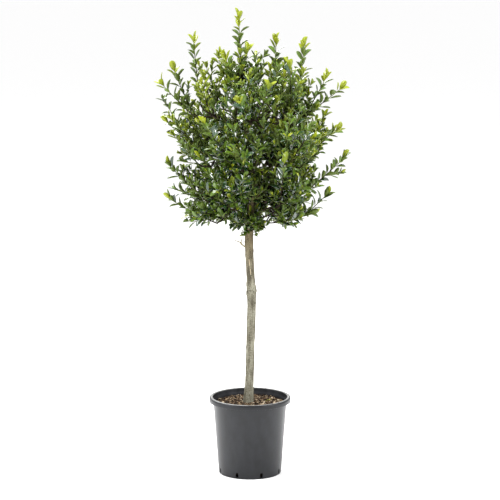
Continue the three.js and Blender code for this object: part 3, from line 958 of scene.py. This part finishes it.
def grow(mass, rng, taken):
    """Twigs and leaves of one mass."""
    shoots = [*long_shoots(mass, rng, taken), *outer_shoots(mass, rng, taken)]
    if mass.label == "collar":
        shoots += stem_sprigs(mass)
    shoots += inner_shoots(mass, rng, taken)
    skeleton = Skeleton(mass.root, mass.heading)
    near_first = sorted(shoots, key=lambda shoot: norm(shoot.base - mass.root))
    for shoot in near_first[-1:] + near_first[:-1]:
        skeleton.join(shoot)
    for host in list(shoots):
        shoots += side_shoots(skeleton, host, mass, rng, taken)
    for shoot in shoots:
        give_age(shoot, rng)
    build_twigs(mass, skeleton)
    build_leaves(mass, shoots, rng)


# ---- stem and boughs

STEM_SIDES = 88
STEM_STEP = 2.5 * MM
PLAIN, HEALED, SCAR = range(3)
RIBS = ((2.6, 5, 1.0 * MM), (7, 16, 0.55 * MM), (17, 60, 0.22 * MM))  # how often round and up, how high
KNOTS = [  # pruning scars and buds on the stem: height in mm, angle round it, and size in mm
    (592, -0.35, 7.5), (585, -2.4, 6.5), (577, 3.4, 6), (548, -0.75, 6), (608, -2.9, 5), (622, 1.3, 6),
    (589, -1.75, 4.5), (586, -1.15, 4), (560, -2.2, 4.5),
    (500, -2.8, 5.5), (512, 0.9, 5), (470, 2.2, 4.5), (437, -0.4, 4.5), (405, -2.9, 4.5), (352, -0.2, 5),
    (330, 1.9, 5), (301, -2.2, 4), (677, 2.4, 5), (716, -0.2, 4.5), (738, -2.9, 6), (700, -3.0, 4),
]
KNOT_REACH = 2.5  # up to how many sizes away a knot swells the bark
KNOT_HEIGHT = 0.24  # of its size
SLITS = [(666, 694, -1.72, 1.1), (636, 664, -1.5, 0.9)]  # pale slits: foot, head, angle and half width


def round_stem(angle, other, radius):
    """How far round the stem an angle is from another, in mm."""
    return radius / MM * math.remainder(angle - other, TURN)


def stem_relief(height, angle, radius):
    """How far the bark stands in or out at a place on the stem."""
    cosine, sine = math.cos(angle), math.sin(angle)
    relief = sum(size * noise.noise(Vector((often * cosine, often * sine, height * up)))
                 for often, up, size in RIBS)
    for place, turn, size in KNOTS:
        away = math.hypot(round_stem(angle, turn, radius), 0.8 * (height / MM - place)) / size
        if away < KNOT_REACH:
            swell = math.exp(-5 * (away - 0.75) ** 2) - 0.75 * math.exp(-6 * away ** 2)
            relief += KNOT_HEIGHT * size * MM * swell
    for foot, head, turn, half in SLITS:
        along = (height / MM - foot) / (head - foot)
        if 0 < along < 1:
            across = abs(round_stem(angle, turn, radius))
            lips = 0.8 * math.exp(-((across - 2 * half) ** 2)) - 0.7 * math.exp(-((across / half) ** 2))
            relief += math.sin(math.pi * along) * lips * MM
    return relief


def stem_kind(middle):
    """Which bark a spot on the stem shows: plain, a slit's healed wood, or a scar's dark."""
    centre, radius = stem_at(middle[2])
    angle = math.atan2(middle[1] - centre[1], middle[0] - centre[0])
    height = middle[2] / MM
    for foot, head, turn, half in SLITS:
        across = abs(round_stem(angle, turn, radius))
        if foot < height < head and across < half * math.sin(math.pi * (height - foot) / (head - foot)):
            return HEALED
    for place, turn, size in KNOTS:
        if math.hypot(round_stem(angle, turn, radius), 1.1 * (height - place)) < 0.45 * size:
            return SCAR
    return PLAIN


def build_stem():
    """The stem as a fine mesh: ribs along it, swollen knots, pruning scars and healed slits."""
    angles, ways = circle(STEM_SIDES)
    rings = []
    for height in np.arange(STEM[0, 0], STEM[-1, 0], STEM_STEP):
        centre, radius = stem_at(height)
        reaches = [radius + stem_relief(height, angle, radius) for angle in angles]
        rings.append(centre + np.array(reaches)[:, None] * ways)
    middles = np.vstack(rings)[grid_faces(len(rings), STEM_SIDES)].mean(axis=1)
    surface = Surface()
    surface.add_rings(rings, [stem_kind(middle) for middle in middles])
    barks = [bark_material(name) for name in ("bark", "bark_healed", "bark_scar")]
    surface.piece("stem_bark", barks, ["trunk"])


BOUGH_SIDES = 12
BOUGH_STEP = 4 * MM
BOUGH_ROUGHNESS = 0.9 * MM


def build_boughs():
    """The boughs, each swelling a little where it joins the stem, with a rough skin."""
    surface = Surface()
    names = [node for node in sorted(NODES) if node.startswith("bough_")]
    for node in names:
        line, radii = smooth_limb(*limb_line(node), BOUGH_STEP)
        surface.add_rings(tube_rings(line, radii, BOUGH_SIDES))
    for patch in surface.vertices:
        for place in patch:
            place += BOUGH_ROUGHNESS * noise.fractal(Vector(place) * 120, 1.0, 2.0, 4)
    surface.piece("bough_bark", [bark_material("bough_bark")], names)


def build_dead_twig():
    """The small pale forked twig that stands out from the stem under the crown."""
    centre, radius = stem_at(738 * MM)
    root = centre + np.array([-radius + 1.5 * MM, -2 * MM, -11 * MM])
    fork = root + np.array([-12, -4, 11]) * MM
    bend = 0.5 * (root + fork) - 1.5 * MM * UP
    up = [root, bend, *(fork + np.array([(0, 0, 0), (-1, -1, 8), (3, -1, 17)]) * MM)]
    out = fork + np.array([(0, 0, -3), (-5, -2, 5), (-12, -3, 8), (-21, -4, 11)]) * MM
    surface = Surface()
    for points, thick, thin in ((up, 2.4, 1.3), (out, 1.8, 1.1)):
        line = smooth_path(points, 2 * MM)
        surface.add_rings(tube_rings(line, np.linspace(thick, thin, len(line)) * MM, 8))
    surface.piece("dead_twig", [bark_material("dead_twig")])


# ---- pot and potting mix

POT_SIDES = 160
FOOT_RADIUS = 100.5 * MM  # of the wall's outside
BODY_RADIUS = 117 * MM  # of it just under the rim
WALL = 2.4 * MM
FLOOR = 4 * MM
RIM_DEPTH = 15 * MM
RIM_INNER = 118.6 * MM
RIM_LEAN = 0.8 * MM
FLOOR_RING = 60 * MM  # the radius inside which the pot's floor is one face
# The pot's faces: outside, a light grey painted highlight on the rim's inner rounding, and inside.
OUTSIDE, PAINTED_LIP_HIGHLIGHT, INSIDE = range(3)
DRAINS = SimpleNamespace(count=8, first=math.radians(-114), width=9 * MM, rise=16 * MM)


def rounded(corners):
    """A profile with its corners, each a radius, a height and a roundness, rounded off."""
    out = [corners[0][:2]]
    for before, corner, after in zip(corners, corners[1:], corners[2:]):
        p, q, r = (np.array(c[:2]) for c in (before, corner, after))
        reach = min(corner[2], 0.48 * norm(p - q), 0.48 * norm(r - q))
        start, end = q + unit(p - q) * reach, q + unit(r - q) * reach
        for t in np.linspace(0, 1, 5):
            out.append(tuple((1 - t) ** 2 * start + 2 * t * (1 - t) * q + t ** 2 * end))
    return out + [corners[-1][:2]]


def pot_profile(rim, height):
    """Radius and height round the wall's section: up the outside, over the rim, down the inside."""
    under = height - RIM_DEPTH
    top = height - 3 * MM
    skirt = rim - WALL
    return rounded([
        (FLOOR_RING, 0, 0), (FOOT_RADIUS - 1 * MM, 0, 2.5 * MM), (BODY_RADIUS, under - 1.5 * MM, 2 * MM),
        (RIM_INNER + WALL, under + 4 * MM, 2 * MM), (RIM_INNER + WALL, top, 1 * MM), (skirt, top, 1 * MM),
        (skirt, under, 1 * MM), (rim, under, 1.6 * MM), (rim - RIM_LEAN, height, 4 * MM),
        (RIM_INNER, height, 1.6 * MM), (RIM_INNER, under + 3 * MM, 2 * MM),
        (BODY_RADIUS - WALL, under - 2 * MM, 2 * MM), (FOOT_RADIUS - WALL, FLOOR, 2 * MM),
        (FLOOR_RING, FLOOR, 0),
    ])


def build_pot():
    """The pot turned as one fine shell, with a painted highlight along the rim's inner edge, and its drain
    openings cut through.
    """
    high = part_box("pot")[1]
    profile = pot_profile(high.x, high.z)
    # the faces of the rim's inner rounding carry the painted highlight
    inner = [i for i, (radius, height) in enumerate(profile)
             if height > high.z - 2 * MM and radius < RIM_INNER + 2 * MM]
    kinds = np.full(len(profile) - 1, OUTSIDE)
    kinds[inner[0] - 1:inner[-1]] = PAINTED_LIP_HIGHLIGHT
    kinds[inner[-1]:] = INSIDE
    surface = Surface()
    surface.add_rings(turned(profile, POT_SIDES), np.repeat(kinds, POT_SIDES))
    plastics = [
        plastic_material("pot_outside", (0.0066, 0.0072, 0.0092), 0.3, 0.36),
        # light grey: a painted highlight on the black plastic
        plastic_material("pot_lip_painted_highlight", (0.16, 0.16, 0.155), 0.5, 0.4),
        plastic_material("pot_inside", (0.022, 0.0225, 0.025), 0.12, 0.8),
    ]
    cut_drains(surface.piece("pot_shell", plastics, ["pot"]))


def drain_cutter():
    """A round-headed block across the foot of the wall for each drain opening."""
    half = DRAINS.width / 2
    outline = [(-half, 0), (half, 0)]
    for t in np.linspace(0, math.pi, 11):
        outline.append((half * math.cos(t), DRAINS.rise - half + half * math.sin(t)))
    surface = Surface()
    for i in range(DRAINS.count):
        angle = DRAINS.first + TURN * i / DRAINS.count
        out = level(angle)
        side = np.cross(UP, out)
        surface.add_rings([[out * reach + side * x + UP * (FLOOR + z) for x, z in outline]
                           for reach in (FOOT_RADIUS - 4 * WALL, FOOT_RADIUS + 4 * WALL)])
    return linked("drain_cutter", surface.mesh("drain_cutter"))


def cut_drains(pot):
    """Cuts the drain openings at the foot of the wall."""
    tool = drain_cutter()
    cut = pot.modifiers.new("drains", "BOOLEAN")
    cut.operation = "DIFFERENCE"
    cut.solver = "EXACT"
    cut.object = tool
    bpy.context.view_layer.update()
    done = pot.evaluated_get(bpy.context.evaluated_depsgraph_get())
    pot.data = bpy.data.meshes.new_from_object(done)
    pot.modifiers.clear()
    bpy.data.objects.remove(tool)
    pot.data.polygons.foreach_set("use_smooth", np.ones(len(pot.data.polygons), bool))
    pot.data.set_sharp_from_angle(angle=math.radians(38))


BED_SIDES = 96
BED_RINGS = 36
BED_DIP = 6 * MM  # from the bed's middle to the wall
BED_GAP = 0.4 * MM  # between the bed and the wall
BED_FOOT_GAP = 16 * MM  # down where the drain openings are
BED_FLAT = 0.35  # of its radius is level
BED_LUMPS = 2.2 * MM
CHIPS = 3400
CHIP_SIZES = (1.1, 3.8)  # in mm
CHIP_EDGE = 0.97  # of the bed's radius, beyond which none lies
BIG_CHIPS = (0.1, 1.8)  # their share, and how much bigger they are
CHIP_SHARES = [0.43, 0.29, 0.19, 0.09]  # of the looks below but the last
CHIP_LOOKS = [  # name, colour, roughness and gloss
    ("chip_dark", (0.014, 0.009, 0.006), 0.95, 0.15),
    ("chip_brown", (0.095, 0.056, 0.031), 0.95, 0.15),
    ("chip_tan", (0.24, 0.17, 0.1), 0.9, 0.2),
    ("chip_pale", (0.46, 0.37, 0.26), 0.9, 0.2),
    ("chip_yellow", (0.32, 0.29, 0.08), 0.8, 0.2),
]
YELLOW_SCRAPS = [(62, 18, 6), (56, 26, 5), (52, 4, 3.5)]  # place and size in mm
CHIP_WIDTH = (0.25, 0.7)  # of its length
CHIP_THICKNESS = (0.12, 0.3)  # half of it
CHIP_WEAR = (0.75, 1.1)  # how far in or out a corner may be
CHIP_TILT = 0.4
CHIP_OUTLINE = ((-1, -0.7), (0.2, -1), (1, -0.3), (0.7, 0.9), (-0.6, 0.8))


def mix_height(x, y):
    """Height of the potting mix's surface, which dips to the wall and is lumpy."""
    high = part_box("potting_mix")[1]
    dip = max(0, math.hypot(x, y) / high.x - BED_FLAT)
    return high.z - BED_DIP * dip + BED_LUMPS * noise.fractal(Vector((x, y, 0)) * 30, 1.0, 2.0, 3)


def wall_radius(height):
    """Inside radius of the pot's wall at a height."""
    share = (height - FLOOR) / (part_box("pot")[1].z - RIM_DEPTH - FLOOR)
    return FOOT_RADIUS - WALL + share * (BODY_RADIUS - FOOT_RADIUS)


def build_mix(rng):
    """The mix as a lumpy bed, clear of the drain openings, with bark chips lying on it."""
    low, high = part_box("potting_mix")
    edge = wall_radius(high.z - BED_DIP) - BED_GAP
    drained = low.z + DRAINS.rise + 8 * MM
    shoulder = drained + 3 * MM
    foot = wall_radius(low.z) - BED_FOOT_GAP
    lower = [(foot, low.z), (foot, drained), (wall_radius(shoulder) - BED_GAP, shoulder)]
    top = turned([(reach * edge, 0) for reach in np.linspace(1, 0.02, BED_RINGS)], BED_SIDES)
    for place in top.reshape(-1, 3):
        place[2] = mix_height(place[0], place[1])
    bed = Surface()
    bed.add_rings(np.concatenate([turned(lower, BED_SIDES), top]))
    bed.piece("potting_mix_bed", [mix_material()], ["potting_mix"])
    build_chips(edge, rng)


def build_chips(edge, rng):
    """Bark chips strewn over the mix, and a few yellow scraps."""
    chips = Surface()
    for _ in range(CHIPS):
        radius = edge * math.sqrt(rng.random()) * CHIP_EDGE
        angle = rng.uniform(0, TURN)
        x, y = radius * math.cos(angle), radius * math.sin(angle)
        if math.hypot(x - STEM[0, 1], y - STEM[0, 2]) < STEM[0, 3]:
            continue
        size = rng.uniform(*CHIP_SIZES) * MM * (BIG_CHIPS[1] if rng.random() < BIG_CHIPS[0] else 1)
        kind = int(rng.choice(len(CHIP_SHARES), p=CHIP_SHARES))
        add_chip(chips, (x, y, mix_height(x, y) + 0.4 * size * rng.random()), size, kind, rng)
    for x, y, size in YELLOW_SCRAPS:
        place = (x * MM, y * MM, mix_height(x * MM, y * MM) + 3 * MM)
        add_chip(chips, place, size * MM, len(CHIP_SHARES), rng)
    browns = [material(*look, Specular_IOR_Level=gloss) for *look, gloss in CHIP_LOOKS]
    chips.piece("bark_chips", browns)


def add_chip(surface, place, size, kind, rng):
    """One flat, broken piece of bark."""
    width = size * rng.uniform(*CHIP_WIDTH)
    thick = size * rng.uniform(*CHIP_THICKNESS)
    rings = [[(size * x * rng.uniform(*CHIP_WEAR), width * y * rng.uniform(*CHIP_WEAR), z)
              for x, y in CHIP_OUTLINE] for z in (-thick, thick)]
    turn = rng.uniform(0, TURN)
    tip, roll = rng.normal(0, CHIP_TILT, 2)
    spin = np.array(Euler((roll, tip, turn)).to_matrix())
    surface.add_rings(np.array(rings) @ spin.T + np.array(place), kind)


# ---- stage, light and camera

LAMPS = {  # place, size and power
    "left": ((-3.2, -1.6, 2.4), 2.2, 148),
    "right": ((3.2, -1.4, 2.2), 2.2, 135),
    "above": ((-0.3, -0.1, 4.6), 1.8, 235),
    "behind": ((-0.8, 3.0, 3.2), 2.4, 135),
}
LAMP_TARGET = Vector((0, 0, 0.9))
FLOOR_SIZE = 90
CAMERA_PLACE = (0, -6.193, 1.7535)
CAMERA_DIP = math.radians(9.5)
CAMERA_LENS = 144  # mm, on a 36 mm sensor


def build_stage():
    """A plain white floor that runs out of sight, soft light from all round, and soft lamps."""
    bpy.ops.mesh.primitive_circle_add(vertices=96, radius=FLOOR_SIZE, fill_type="NGON")
    floor = bpy.context.object
    floor.name = "floor"
    floor.data.materials.append(material("floor_white", (0.98, 0.98, 0.98), 0.9))
    floor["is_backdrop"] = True
    world = bpy.data.worlds.new("studio")
    bpy.context.scene.world = world
    world.use_nodes = True
    sky = world.node_tree.nodes["Background"].inputs
    sky["Color"].default_value = (1, 1, 1, 1)
    sky["Strength"].default_value = 1.0
    for name, (place, size, power) in LAMPS.items():
        light = bpy.data.lights.new(name, "AREA")
        light.shape = "DISK"
        light.size = size
        light.energy = power
        lamp = linked(name, light)
        lamp.location = place
        lamp.rotation_euler = (LAMP_TARGET - Vector(place)).to_track_quat("-Z", "Y").to_euler()


def build_camera():
    data = bpy.data.cameras.new("camera")
    data.lens = CAMERA_LENS
    data.sensor_width = 36
    data.clip_end = 300
    camera = linked("camera", data)
    camera.location = CAMERA_PLACE
    camera.rotation_euler = (math.pi / 2 - CAMERA_DIP, 0, 0)
    bpy.context.scene.camera = camera
    bpy.context.scene.view_settings.view_transform = "Standard"


# ---- the object

SHOOT_TIPS = []
for number, mass in enumerate(MASSES):
    grow(mass, np.random.default_rng(100 + number), SHOOT_TIPS)
build_stem()
build_boughs()
build_dead_twig()
build_pot()
build_mix(np.random.default_rng(5))
build_stage()
build_camera()

boxes = [[list(corner) for corner in box] for box in (CAD_BOX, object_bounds())]
